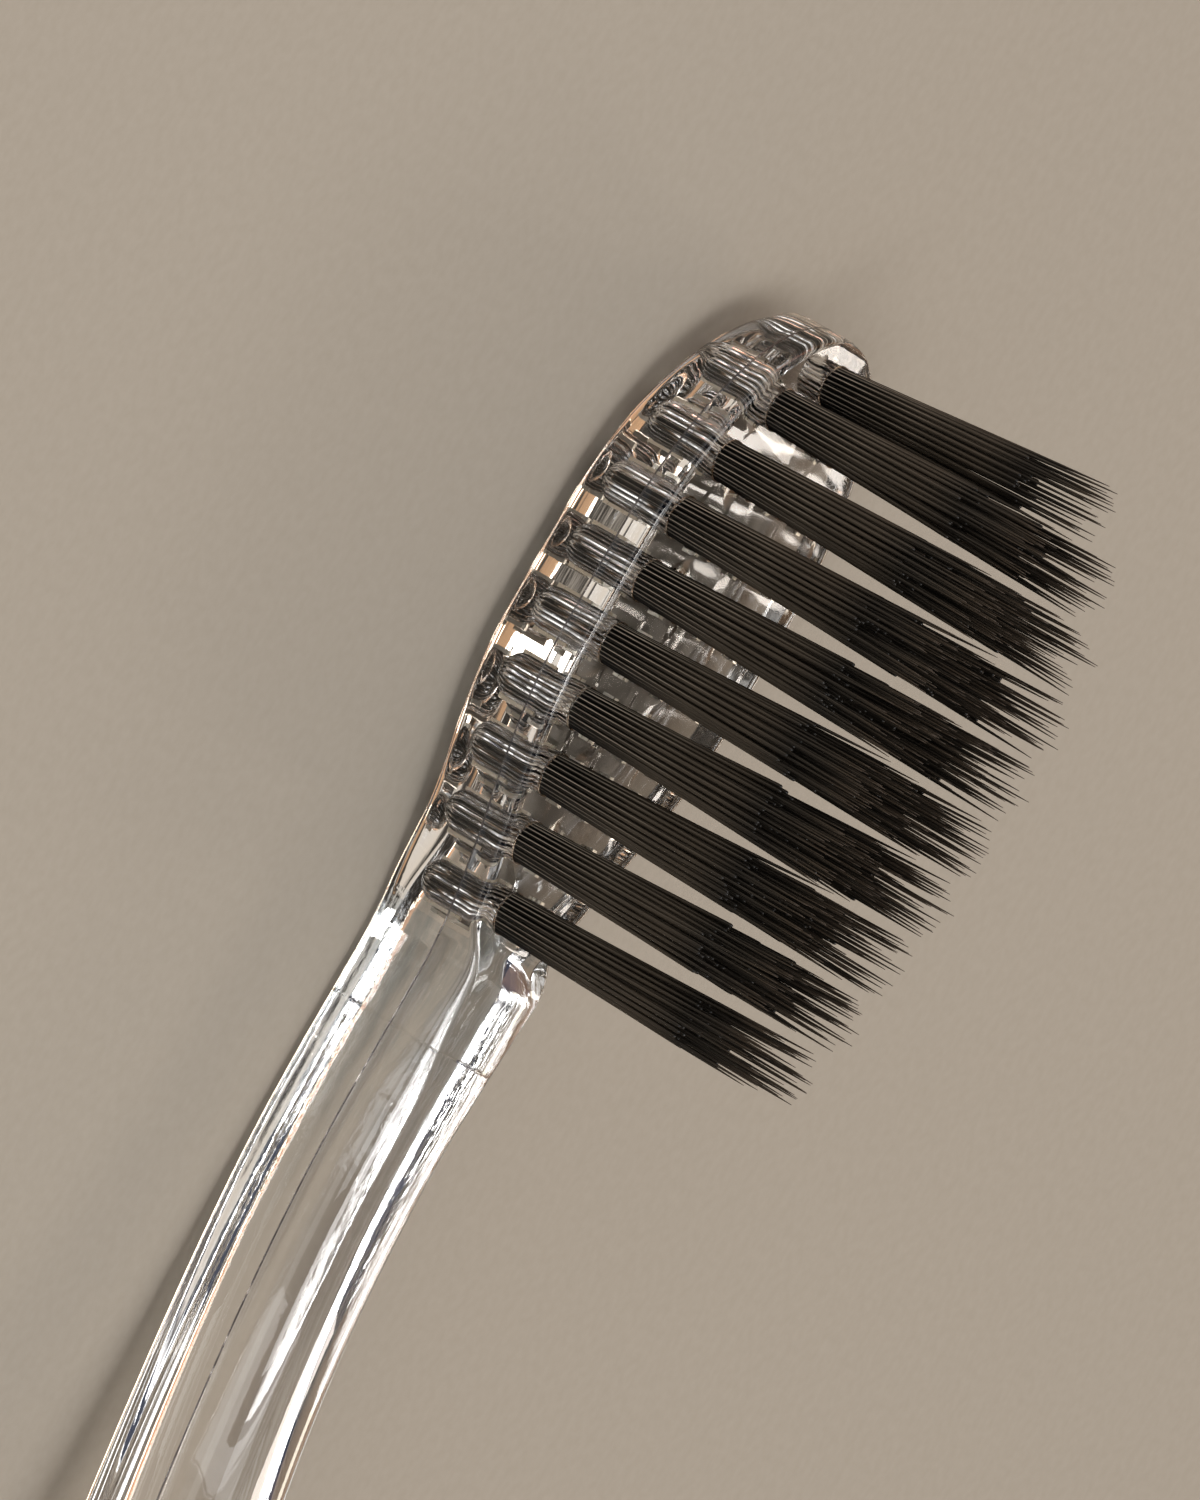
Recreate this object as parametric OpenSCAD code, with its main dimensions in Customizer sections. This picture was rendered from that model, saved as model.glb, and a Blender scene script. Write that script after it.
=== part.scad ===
/* [Brush] */
// Overall length, from the tip of the head to the end of the handle
brush_l = 184; // [165:1:200]

/* [Head] */
// Width of the head
head_w = 10.6; // [10:0.1:13]
// Thickness of the head, from its back to the face that holds the bristles
head_t = 3.3; // [3.1:0.1:4.5]
// Height of the head's back above the underside of the neck
back_step = 0.4; // [0.1:0.05:0.8]
// Length of the rounded tip of the head
tip_l = 8.5; // [7:0.5:10]
// Length of the straight sides between the rounded tip and the shoulders
side_l = 3.5; // [2:0.5:6]
// Length of the shoulders, over which the head narrows into the neck
shoulder_l = 11.5; // [10:0.5:14]
// Radius of the rim round the bristle face
rim_r = 0.35; // [0.2:0.05:0.5]
// Radius of the edge round the head's back
back_r = 0.5; // [0.3:0.05:0.7]
// Radius of the same edge at the tip of the head
tip_back_r = 2.4; // [1.2:0.1:2.6]
// Rise of the head's back towards the tip
tip_rise = 0.65; // [0.3:0.05:0.7]
// Radius under the very tip of the head, seen from the side
nose_r = 0.7; // [0.4:0.05:0.9]

/* [Neck] */
// Width of the neck
neck_w = 4.9; // [4:0.1:6]
// Thickness of the neck
neck_t = 4.6; // [4.2:0.1:5.5]
// Length of the slim neck, from the shoulders to where the handle starts to swell
neck_l = 8.5; // [5:0.5:16]
// Radius of the edges along the neck's top
neck_top_r = 1.1; // [0.6:0.05:1.2]
// Radius of the edges along the neck's underside
neck_back_r = 0.75; // [0.4:0.05:1]
// Height of the crowned top of the neck above its sides
neck_crown = 0.36; // [0.1:0.02:0.5]
// Distance from the end of the bristle face to the start of the neck
ramp_l = 2.2; // [1.8:0.1:2.3]
// Distance by which the ramp's sides rise ahead of its middle, so that it cups the last tufts
cup_l = 0.6; // [0.2:0.1:0.8]

/* [Handle] */
// Width of the handle under the thumb
thumb_w = 12.4; // [11:0.1:15]
// Thickness of the handle under the thumb
thumb_t = 8; // [7:0.1:10]
// Width of the handle at its waist
waist_w = 10.6; // [9:0.1:13]
// Thickness of the handle at its waist
waist_t = 7.4; // [6.8:0.1:9]
// Width of the handle in the palm
palm_w = 12.2; // [11:0.1:15]
// Thickness of the handle in the palm
palm_t = 8.4; // [7.5:0.1:10]
// Radius of the handle's edges
grip_r = 3.2; // [2:0.1:3.3]
// Height of the crowned top of the handle above its sides
grip_crown = 0.6; // [0.2:0.1:0.8]
// Length of the rounded end of the handle
end_l = 8; // [6:0.5:12]
// Rise of the handle's middle line above the neck, at the crest of its arch
arch_h = 6.8; // [3:0.1:10]
// Depth of the flat that is cut in the handle's underside to rest on
foot_cut = 0.25; // [0.15:0.05:0.5]

/* [Tuft holes] */
// Diameter of a tuft hole
hole_d = 1.4; // [1.2:0.05:1.6]
// Plastic left under a tuft hole
floor_t = 0.5; // [0.4:0.05:0.8]
// Distance from the tip of the head to the single first tuft
tip_gap = 1.5; // [1.4:0.05:2]
// Distance from the first tuft to the second row
lead_gap = 1.44; // [1.3:0.02:2]
// Distance from the last row to the start of the neck
heel_gap = 3.1; // [2.6:0.1:4]

/* [Bristles] */
// Height of the tapered filaments above the face
tapered_h = 10.5; // [9:0.1:12]
// Height of the blunt filaments above the face
blunt_h = 7.7; // [6:0.1:8.5]
// Width of a modelled strand, which stands for a few filaments
strand_d = 0.25; // [0.16:0.01:0.27]
// Lean of the first tuft's ends towards the tip of the head
lead_lean = 0.8; // [0:0.1:1.2]
// Clearance between a tuft's root and its hole
root_gap = 0.015; // [0.01:0.005:0.03]

/* [Anchors] */
// Thickness of an anchor plate
anchor_t = 0.25; // [0.15:0.01:0.35]
// Height of an anchor plate
anchor_h = 1.2; // [0.9:0.05:1.4]
// Bite of an anchor plate into the plastic on each side of its hole
anchor_bite = 0.1; // [0.05:0.01:0.15]
// Thickness of the folded filaments under an anchor plate
fold_t = 0.45; // [0.35:0.05:0.6]
// Clearance round an anchor plate
anchor_gap = 0.01; // [0.005:0.005:0.03]

/* [Hidden] */
// Rows of tufts, from the tip: how many tufts, and the outer ones' place as a share of half the head's width
ROW_COUNTS = [1, 2, 4, 4, 4, 4, 4, 4, 3, 2];
row_spread_shares = [0, 0.4, 0.64, 0.77, 0.745, 0.72, 0.655, 0.56, 0.435, 0.215];

// Strands of a tuft: an outer ring, in which every third strand is blunt, and an inner ring of blunt ones,
// with their places as shares of the root's radius, and how far the strands spread at the bristles' height
OUTER_STRANDS = 9;
INNER_STRANDS = 5;
outer_ring_share = 0.77;
inner_ring_share = 0.34;
flare_share = 1.5;
// Where a strand starts to taper, as a share of the bristles' height, and how deep it starts in its hole
taper_start_share = 0.55;
strand_root_share = 0.2;

// Places along the handle, as shares of its length from where it starts to swell
crest_share = 0.27;
thumb_share = 0.33;
waist_share = 0.56;
palm_share = 0.8;
foot_share = 0.83;
// Place of the parting line above the middle line, as a share of the neck's thickness
parting_share = 0.095;
// Lean of the moulded sides inwards from the parting line, as a share of their height
draft_share = 0.03;
// Place where the head's back starts to step down to the neck, and its end, as shares of the shoulders
step_start_share = 0.48;
step_end_share = 0.82;
// Place where the ramp up to the neck ends, as a share of the distance from the face to the neck
ramp_end_share = 0.64;
// Distance beyond the neck's start at which its top edges have their full radius, as a share of the same distance
round_end_share = 2;
// Place where the neck starts to arch, as a share of its length
arch_start_share = 0.41;
// Largest edge radius, as a share of the half width or half thickness that it rounds
round_limit_share = 0.92;
// Place of the first ring from an end, as a share of the step to the next
first_ring_share = 0.7;

TIP_RINGS = 12;
SHOULDER_RINGS = 18;
HANDLE_RINGS = 38;
END_RINGS = 8;
EDGE_STEPS = 5;
CROWN_STEPS = 2;
HOLE_SIDES = 48;

shoulder_x = tip_l + side_l;
neck_x = shoulder_x + shoulder_l;
swell_x = neck_x + neck_l;
end_x = brush_l - end_l;
handle_l = brush_l - swell_x;
arch_x = neck_x + arch_start_share * neck_l;
crest_x = swell_x + crest_share * handle_l;
thumb_x = swell_x + thumb_share * handle_l;
waist_x = swell_x + waist_share * handle_l;
palm_x = swell_x + palm_share * handle_l;
foot_x = swell_x + foot_share * handle_l;
step_start_x = shoulder_x + step_start_share * shoulder_l;
step_end_x = shoulder_x + step_end_share * shoulder_l;
face_end_x = neck_x - ramp_l;
ramp_end_x = face_end_x + ramp_end_share * ramp_l;
round_end_x = neck_x + round_end_share * ramp_l;

face_z = back_step + head_t;
hole_depth = head_t - floor_t;
crest_mid = neck_t / 2 + arch_h;
foot_mid = palm_t / 2 - foot_cut;
side_rise = neck_t - neck_crown - face_z;

LAST_ROW = len(ROW_COUNTS) - 1;
row_pitch = (neck_x - heel_gap - tip_gap - lead_gap) / (LAST_ROW - 1);
root_r = hole_d / 2 - root_gap;
anchor_w = hole_d + 2 * anchor_bite;
anchor_z = face_z - hole_depth + fold_t;

function tuft_name(row, i) = str("tuft_row", row + 1, "_", i + 1);
function anchors_name(row) = str("anchors_row", row + 1);
TUFT_NAMES = [for (row = [0 : LAST_ROW], i = [0 : ROW_COUNTS[row] - 1]) tuft_name(row, i)];
ANCHOR_NAMES = [for (row = [0 : LAST_ROW]) anchors_name(row)];

// Places along the brush are measured from the tip of the head, and the origin is halfway along it
function along(x) = x - brush_l / 2;
function mix(a, b, share) = a + (b - a) * share;
// A smooth rise from 0 to 1 between two places
function ease(x, start, end) =
    x <= start ? 0 : x >= end ? 1 : (1 - cos(180 * (x - start) / (end - start))) / 2;
// The rounded outline of an end: 0 at its very end, 1 a length away from it
function rounded(distance, length) =
    distance >= length ? 1 : sqrt(1 - pow(1 - max(distance, 0) / length, 2));

function end_round(x) = rounded(brush_l - x, end_l);
// A value that runs from the neck through the thumb and the waist to the palm
function grip(x, neck, thumb, waist, palm) =
    neck
    + (thumb - neck) * ease(x, swell_x, thumb_x)
    + (waist - thumb) * ease(x, thumb_x, waist_x)
    + (palm - waist) * ease(x, waist_x, palm_x);
function half_width(x) =
    mix(head_w * rounded(x, tip_l), grip(x, neck_w, thumb_w, waist_w, palm_w), ease(x, shoulder_x, neck_x))
    * end_round(x) / 2;
function half_thickness(x) = grip(x, neck_t, thumb_t, waist_t, palm_t) * end_round(x) / 2;
function middle(x) =
    mix(mix(neck_t / 2, crest_mid, ease(x, arch_x, crest_x)), foot_mid, ease(x, crest_x, foot_x));

// How far a tip's profile, rounded over a length, is from its full height
function tip_drop(x, height, length) = height * (1 - rounded(x, length));
function top_z(x) =
    mix(
        face_z - tip_drop(x, rim_r, rim_r),
        middle(x) + half_thickness(x),
        ease(x, face_end_x, ramp_end_x)
    );
function bottom_z(x) =
    mix(
        back_step + tip_drop(x, tip_rise, tip_l) + tip_drop(x, nose_r, nose_r),
        middle(x) - half_thickness(x),
        ease(x, step_start_x, step_end_x)
    );
function parting_z(x) = middle(x) + parting_share * neck_t * end_round(x);
function edge_r(x, r) =
    min(
        mix(r, grip_r, ease(x, arch_x, thumb_x)),
        round_limit_share * half_width(x),
        round_limit_share * half_thickness(x)
    );
function low_edge_r(x) =
    let (head_r = mix(tip_back_r, back_r, rounded(x, tip_l)))
    min(
        edge_r(x, mix(head_r, neck_back_r, ease(x, shoulder_x, neck_x))),
        round_limit_share * (parting_z(x) - bottom_z(x))
    );
function high_edge_r(x) = edge_r(x, mix(rim_r, neck_top_r, ease(x, face_end_x, round_end_x)));
// How far the sides of the top lie below its middle: less than nothing where the ramp cups the last tufts
function crown(x) =
    let (
        middle_share = ease(x, face_end_x, ramp_end_x),
        side_share = ease(x, face_end_x - cup_l, ramp_end_x - cup_l),
        cup = (side_share - middle_share) * side_rise
    )
    mix(neck_crown * middle_share, grip_crown, ease(x, arch_x, thumb_x)) * end_round(x) - cup;

// One side of a cross-section, from the underside to the top: edge, parting line, edge, crowned top
function half_section(x) =
    let (
        w = half_width(x),
        low = bottom_z(x),
        high = top_z(x),
        part = parting_z(x),
        low_r = low_edge_r(x),
        high_r = high_edge_r(x),
        low_w = w - draft_share * (part - low),
        high_w = w - draft_share * (high - part),
        top = concat(
            [for (i = [0 : EDGE_STEPS])
                let (a = 90 * i / EDGE_STEPS)
                [high_w - high_r * (1 - cos(a)), high - high_r * (1 - sin(a))]],
            [for (i = [1 : CROWN_STEPS])
                [(high_w - high_r) * (1 - 2 * i / (2 * CROWN_STEPS + 1)), high]]
        )
    )
    concat(
        [for (i = [0 : EDGE_STEPS])
            let (a = 90 * i / EDGE_STEPS)
            [low_w - low_r * (1 - sin(a)), low + low_r * (1 - cos(a))]],
        [[w, part]],
        [for (p = top) [p[0], p[1] - crown(x) * pow(p[0] / high_w, 2)]]
    );
function section(x) =
    let (half = half_section(x), last = len(half) - 1)
    concat(
        [for (p = half) [along(x), p[0], p[1]]],
        [for (i = [last : -1 : 0]) [along(x), -half[i][0], half[i][1]]]
    );

// Rings lie closer together towards both ends, and start and stop just short of where the width is nothing
stations = concat(
    [for (i = [1 : TIP_RINGS])
        tip_l * (1 - cos(90 * (i - first_ring_share) / (TIP_RINGS - first_ring_share)))],
    [for (i = [0 : SHOULDER_RINGS]) shoulder_x + shoulder_l * i / SHOULDER_RINGS],
    [for (i = [1 : HANDLE_RINGS]) neck_x + (end_x - neck_x) * i / HANDLE_RINGS],
    [for (i = [1 : END_RINGS]) end_x + end_l * sin(90 * i / (END_RINGS + 1 - first_ring_share))]
);

// A closed skin over rings that have the same number of points
module loft(rings) {
    n = len(rings[0]);
    last = len(rings) - 1;
    polyhedron(
        points = [for (ring = rings) each ring],
        faces = concat(
            [[for (i = [0 : n - 1]) i]],
            [for (k = [0 : last - 1], i = [0 : n - 1])
                let (a = k * n + i, b = k * n + (i + 1) % n)
                each [[a, a + n, b], [b, a + n, b + n]]],
            [[for (i = [n - 1 : -1 : 0]) last * n + i]]
        )
    );
}

function row_x(row) = row == 0 ? tip_gap : tip_gap + lead_gap + (row - 1) * row_pitch;
function row_spread(row) = row_spread_shares[row] * head_w / 2;
function tuft_y(row, i) =
    ROW_COUNTS[row] == 1 ? 0 : mix(-row_spread(row), row_spread(row), i / (ROW_COUNTS[row] - 1));

// Puts its children at the mouth of one tuft's hole
module at_hole(row, i) {
    translate([along(row_x(row)), tuft_y(row, i), face_z]) children();
}

module at_holes(row) {
    for (i = [0 : ROW_COUNTS[row] - 1]) at_hole(row, i) children();
}

// A blind hole or a root, with a round bottom, below the mouth
module hole_form(r, depth, above) {
    translate([0, 0, r - depth]) {
        cylinder(r = r, h = depth - r + above, $fn = HOLE_SIDES);
        sphere(r = r, $fn = HOLE_SIDES);
    }
}

// The plate that holds a folded tuft in its hole, or its pocket with a gap around it
module anchor_plate(gap) {
    w = anchor_w + 2 * gap;
    t = anchor_t + 2 * gap;
    h = anchor_h + 2 * gap;
    translate([-w / 2, -t / 2, anchor_z - face_z - gap]) cube([w, t, h]);
}

module below_the_rest_plane() {
    translate([-brush_l, -brush_l, -brush_l]) cube([2 * brush_l, 2 * brush_l, brush_l]);
}

module brush_body() {
    color([0.86, 0.84, 0.8, 0.5])
        difference() {
            difference() {
                loft([for (x = stations) section(x)]);
                below_the_rest_plane();
            }
            for (row = [0 : LAST_ROW]) at_holes(row) hole_form(hole_d / 2, hole_depth, head_t);
            for (row = [0 : LAST_ROW]) at_holes(row) anchor_plate(anchor_gap);
        }
}

// A ring of three corners round a strand's middle line
function strand_ring(x, y, z, angle) =
    [for (k = [0 : 2]) [x + strand_d / 2 * cos(angle + 120 * k), y + strand_d / 2 * sin(angle + 120 * k), z]];

// A three-sided strand that leaves the root and spreads, with a cut end or a fine point
module strand(ring_share, angle, lean, tapered) {
    root_z = -strand_root_share * hole_depth;
    top_z = tapered ? tapered_h : blunt_h;
    ring_r = ring_share * root_r;
    function spread(z) = mix(1, flare_share, z / tapered_h);
    function x_at(z) = ring_r * spread(z) * cos(angle) - lean * z / tapered_h;
    function y_at(z) = ring_r * spread(z) * sin(angle);
    bend_z = tapered ? taper_start_share * tapered_h : top_z;
    rings = concat(
        strand_ring(x_at(root_z), y_at(root_z), root_z, angle),
        strand_ring(x_at(bend_z), y_at(bend_z), bend_z, angle)
    );
    sides = [for (k = [0 : 2])
        let (next = (k + 1) % 3)
        each [[k, k + 3, next], [next, k + 3, next + 3]]];
    if (tapered) {
        point = [x_at(top_z), y_at(top_z), top_z];
        polyhedron(
            points = concat(rings, [point]),
            faces = concat([[0, 1, 2]], sides, [[4, 3, 6], [5, 4, 6], [3, 5, 6]])
        );
    } else {
        polyhedron(points = rings, faces = concat([[0, 1, 2]], sides, [[5, 4, 3]]));
    }
}

module tuft(row, i) {
    lean = row == 0 ? lead_lean : 0;
    color([0.1, 0.085, 0.08])
        at_hole(row, i) {
            difference() {
                hole_form(root_r, hole_depth - root_gap, 0);
                anchor_plate(anchor_gap);
            }
            for (k = [0 : OUTER_STRANDS - 1])
                strand(outer_ring_share, 360 * k / OUTER_STRANDS, lean, k % 3 != 0);
            for (k = [0 : INNER_STRANDS - 1])
                strand(inner_ring_share, 360 * k / INNER_STRANDS, lean, false);
        }
}

module anchors(row) {
    color([0.76, 0.72, 0.64]) at_holes(row) anchor_plate(0);
}

brush_body();
for (row = [0 : LAST_ROW]) {
    anchors(row);
    for (i = [0 : ROW_COUNTS[row] - 1])
        tuft(row, i);
}
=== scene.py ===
"""Looks of a clear manual toothbrush with dark tufts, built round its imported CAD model."""
import math
import random

import bpy
from mathutils import Matrix, Vector
from mathutils.geometry import delaunay_2d_cdt


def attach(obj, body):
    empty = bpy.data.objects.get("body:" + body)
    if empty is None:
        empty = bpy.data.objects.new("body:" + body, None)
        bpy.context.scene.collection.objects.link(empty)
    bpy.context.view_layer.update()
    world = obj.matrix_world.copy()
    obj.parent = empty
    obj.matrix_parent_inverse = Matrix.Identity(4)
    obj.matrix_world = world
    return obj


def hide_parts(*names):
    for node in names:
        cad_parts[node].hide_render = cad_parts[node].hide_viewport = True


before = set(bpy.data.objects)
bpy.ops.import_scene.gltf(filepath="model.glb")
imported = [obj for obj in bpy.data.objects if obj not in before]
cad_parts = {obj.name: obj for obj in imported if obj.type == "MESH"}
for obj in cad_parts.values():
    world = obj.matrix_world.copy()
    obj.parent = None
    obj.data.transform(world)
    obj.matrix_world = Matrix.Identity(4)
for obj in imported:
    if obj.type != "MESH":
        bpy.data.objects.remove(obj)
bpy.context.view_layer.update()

MM = 0.001
BODY = "root"

# Sizes of the brush in millimetres, the same as in the CAD model
BRUSH_L = 184.0
HEAD_W, HEAD_T, BACK_STEP = 10.6, 3.3, 0.4
TIP_L, SIDE_L, SHOULDER_L = 8.5, 3.5, 11.5
RIM_R, BACK_R, TIP_BACK_R, TIP_RISE, NOSE_R = 0.35, 0.5, 2.4, 0.65, 0.7
NECK_W, NECK_T, NECK_L = 4.9, 4.6, 8.5
NECK_TOP_R, NECK_BACK_R, NECK_CROWN, RAMP_L, CUP_L = 1.1, 0.75, 0.36, 2.2, 0.6
WAIST_W, WAIST_T = 10.6, 7.4
PALM_W, PALM_T = 12.2, 8.4
GRIP_R, GRIP_CROWN, END_L, ARCH_H, FOOT_CUT = 3.2, 0.6, 8.0, 6.8, 0.25
HOLE_D, FLOOR_T = 1.4, 0.5
TIP_GAP, LEAD_GAP, HEEL_GAP = 1.5, 1.44, 3.1
TAPERED_H, BLUNT_H, LEAD_LEAN = 10.5, 7.7, 0.8
ANCHOR_T, ANCHOR_H, FOLD_T = 0.25, 1.2, 0.45
ROW_COUNTS = (1, 2, 4, 4, 4, 4, 4, 4, 3, 2)
ROW_SPREAD_SHARES = (0, 0.4, 0.64, 0.77, 0.745, 0.72, 0.655, 0.56, 0.435, 0.215)
# This width is a hundredth less than in the CAD model, so that the finer mesh stays inside the model's bounds
THUMB_W, THUMB_T = 12.39, 8.0

# Shares of the neck's length, the handle's, the shoulders' and the ramp's, the same as in the CAD model
ARCH_START_SHARE = 0.41
CREST_SHARE, THUMB_SHARE, WAIST_SHARE, PALM_SHARE, FOOT_SHARE = 0.27, 0.33, 0.56, 0.8, 0.83
STEP_START_SHARE, STEP_END_SHARE = 0.48, 0.82
RAMP_END_SHARE, ROUND_END_SHARE = 0.64, 2
# The parting line's rise as a share of the neck's thickness, the sides' draft, and the largest edge radius
PARTING_SHARE, DRAFT_SHARE, ROUND_LIMIT_SHARE = 0.095, 0.03, 0.92

# Places along the brush, from the tip of the head
SHOULDER_X = TIP_L + SIDE_L
NECK_X = SHOULDER_X + SHOULDER_L
SWELL_X = NECK_X + NECK_L
HANDLE_L = BRUSH_L - SWELL_X
END_X = BRUSH_L - END_L
ARCH_X = NECK_X + ARCH_START_SHARE * NECK_L
CREST_X = SWELL_X + CREST_SHARE * HANDLE_L
THUMB_X = SWELL_X + THUMB_SHARE * HANDLE_L
WAIST_X = SWELL_X + WAIST_SHARE * HANDLE_L
PALM_X = SWELL_X + PALM_SHARE * HANDLE_L
FOOT_X = SWELL_X + FOOT_SHARE * HANDLE_L
STEP_START_X = SHOULDER_X + STEP_START_SHARE * SHOULDER_L
STEP_END_X = SHOULDER_X + STEP_END_SHARE * SHOULDER_L
FACE_END_X = NECK_X - RAMP_L
RAMP_END_X = FACE_END_X + RAMP_END_SHARE * RAMP_L
ROUND_END_X = NECK_X + ROUND_END_SHARE * RAMP_L

FACE_Z = BACK_STEP + HEAD_T
HOLE_R = HOLE_D / 2
HOLE_DEPTH = HEAD_T - FLOOR_T
LAST_ROW = len(ROW_COUNTS) - 1
ROW_PITCH = (NECK_X - HEEL_GAP - TIP_GAP - LEAD_GAP) / (LAST_ROW - 1)


def along(x):
    """The frame's X, in millimetres, of a place measured from the tip of the head."""
    return x - BRUSH_L / 2


def mix(a, b, share):
    return a + (b - a) * share


def ease(x, start, end):
    """A smooth rise from 0 to 1 between two places."""
    share = min(max((x - start) / (end - start), 0), 1)
    return (1 - math.cos(math.pi * share)) / 2


def rounded(distance, length):
    """The outline of a rounded end: 0 at its very end, 1 a length away."""
    if distance >= length:
        return 1
    return math.sqrt(1 - (1 - max(distance, 0) / length) ** 2)


def end_round(x):
    return rounded(BRUSH_L - x, END_L)


def grip(x, neck, thumb, waist, palm):
    """A size that runs from the neck through the thumb and the waist to the palm."""
    value = neck + (thumb - neck) * ease(x, SWELL_X, THUMB_X)
    value += (waist - thumb) * ease(x, THUMB_X, WAIST_X)
    return value + (palm - waist) * ease(x, WAIST_X, PALM_X)


def half_width(x):
    handle = grip(x, NECK_W, THUMB_W, WAIST_W, PALM_W)
    return mix(HEAD_W * rounded(x, TIP_L), handle, ease(x, SHOULDER_X, NECK_X)) * end_round(x) / 2


def half_thickness(x):
    return grip(x, NECK_T, THUMB_T, WAIST_T, PALM_T) * end_round(x) / 2


def middle(x):
    arch = mix(NECK_T / 2, NECK_T / 2 + ARCH_H, ease(x, ARCH_X, CREST_X))
    return mix(arch, PALM_T / 2 - FOOT_CUT, ease(x, CREST_X, FOOT_X))


def top_z(x):
    face = FACE_Z - RIM_R * (1 - rounded(x, RIM_R))
    return mix(face, middle(x) + half_thickness(x), ease(x, FACE_END_X, RAMP_END_X))


def bottom_z(x):
    back = BACK_STEP + TIP_RISE * (1 - rounded(x, TIP_L)) + NOSE_R * (1 - rounded(x, NOSE_R))
    return mix(back, middle(x) - half_thickness(x), ease(x, STEP_START_X, STEP_END_X))


def parting_z(x):
    return middle(x) + PARTING_SHARE * NECK_T * end_round(x)


def edge_radius(x, radius):
    """An edge radius that passes into the handle's, within the largest that fits."""
    radius = mix(radius, GRIP_R, ease(x, ARCH_X, THUMB_X))
    return min(radius, ROUND_LIMIT_SHARE * half_width(x), ROUND_LIMIT_SHARE * half_thickness(x))


def low_radius(x):
    head = mix(TIP_BACK_R, BACK_R, rounded(x, TIP_L))
    radius = edge_radius(x, mix(head, NECK_BACK_R, ease(x, SHOULDER_X, NECK_X)))
    return min(radius, ROUND_LIMIT_SHARE * (parting_z(x) - bottom_z(x)))


def high_radius(x):
    return edge_radius(x, mix(RIM_R, NECK_TOP_R, ease(x, FACE_END_X, ROUND_END_X)))


def crown(x):
    """How far the top's edges lie below its middle line. They rise first where the ramp cups the tufts."""
    middle_share = ease(x, FACE_END_X, RAMP_END_X)
    cup = ease(x, FACE_END_X - CUP_L, RAMP_END_X - CUP_L) - middle_share
    low = mix(NECK_CROWN * middle_share, GRIP_CROWN, ease(x, ARCH_X, THUMB_X))
    return low * end_round(x) - cup * (NECK_T - NECK_CROWN - FACE_Z)


def row_x(row):
    return TIP_GAP if row == 0 else TIP_GAP + LEAD_GAP + (row - 1) * ROW_PITCH


def tufts():
    """Yields each tuft's row, number and the middle of its hole's mouth."""
    for row, count in enumerate(ROW_COUNTS):
        spread = ROW_SPREAD_SHARES[row] * HEAD_W / 2
        for i in range(count):
            y = 0 if count == 1 else mix(-spread, spread, i / (count - 1))
            yield row, i, along(row_x(row)), y


def new_object(name, points, faces, material):
    """A smooth mesh object in the scene, from points in millimetres."""
    mesh = bpy.data.meshes.new(name)
    mesh.from_pydata([Vector(p) * MM for p in points], [], faces)
    mesh.validate()
    mesh.shade_smooth()
    mesh.materials.append(material)
    piece = bpy.data.objects.new(name, mesh)
    bpy.context.scene.collection.objects.link(piece)
    return piece


# Sockets of a Mix node for each kind of value: the first value's, the second's and the result's
MIX_SOCKETS = {"RGBA": (6, 7, 2), "VECTOR": (4, 5, 1)}


def new_material(name):
    """A new material, its node tree and its Principled shader."""
    material = bpy.data.materials.new(name)
    material.use_nodes = True
    tree = material.node_tree
    return material, tree, tree.nodes["Principled BSDF"]


def feed(tree, socket, value):
    """Links a socket to another node's output, or gives it a fixed value."""
    if isinstance(value, bpy.types.NodeSocket):
        tree.links.new(value, socket)
    else:
        socket.default_value = value


def add_parts(tree, vector):
    """The X, Y and Z of a vector."""
    split = tree.nodes.new("ShaderNodeSeparateXYZ")
    tree.links.new(vector, split.inputs["Vector"])
    return split.outputs["X"], split.outputs["Y"], split.outputs["Z"]


def add_places(tree):
    """The X, Y and Z of a point of the object, in metres."""
    return add_parts(tree, tree.nodes.new("ShaderNodeTexCoord").outputs["Object"])


def add_normal(tree):
    return tree.nodes.new("ShaderNodeNewGeometry").outputs["Normal"]


def add_noise(tree, scale, detail, stretch=(1, 1, 1)):
    """A noise fixed to the object, with a scale per metre and a squeeze along each axis."""
    coords = tree.nodes.new("ShaderNodeTexCoord")
    mapping = tree.nodes.new("ShaderNodeMapping")
    mapping.inputs["Scale"].default_value = stretch
    noise = tree.nodes.new("ShaderNodeTexNoise")
    noise.inputs["Scale"].default_value = scale
    noise.inputs["Detail"].default_value = detail
    tree.links.new(coords.outputs["Object"], mapping.inputs["Vector"])
    tree.links.new(mapping.outputs["Vector"], noise.inputs["Vector"])
    return noise.outputs["Fac"]


def add_range(tree, value, low, high, to_low, to_high):
    """A value carried from one range to another, and held at its ends."""
    node = tree.nodes.new("ShaderNodeMapRange")
    node.inputs["From Min"].default_value = low
    node.inputs["From Max"].default_value = high
    node.inputs["To Min"].default_value = to_low
    node.inputs["To Max"].default_value = to_high
    tree.links.new(value, node.inputs["Value"])
    return node.outputs["Result"]


def add_ramp(tree, value, stops):
    """A colour ramp through (position, colour) stops."""
    ramp = tree.nodes.new("ShaderNodeValToRGB")
    elements = ramp.color_ramp.elements
    while len(elements) < len(stops):
        elements.new(0.5)
    for element, (position, color) in zip(elements, stops):
        element.position = position
        element.color = (*color, 1)
    tree.links.new(value, ramp.inputs["Fac"])
    return ramp.outputs["Color"]


def add_bump(tree, height, strength, distance):
    bump = tree.nodes.new("ShaderNodeBump")
    bump.inputs["Strength"].default_value = strength
    bump.inputs["Distance"].default_value = distance
    tree.links.new(height, bump.inputs["Height"])
    return bump.outputs["Normal"]


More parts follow.
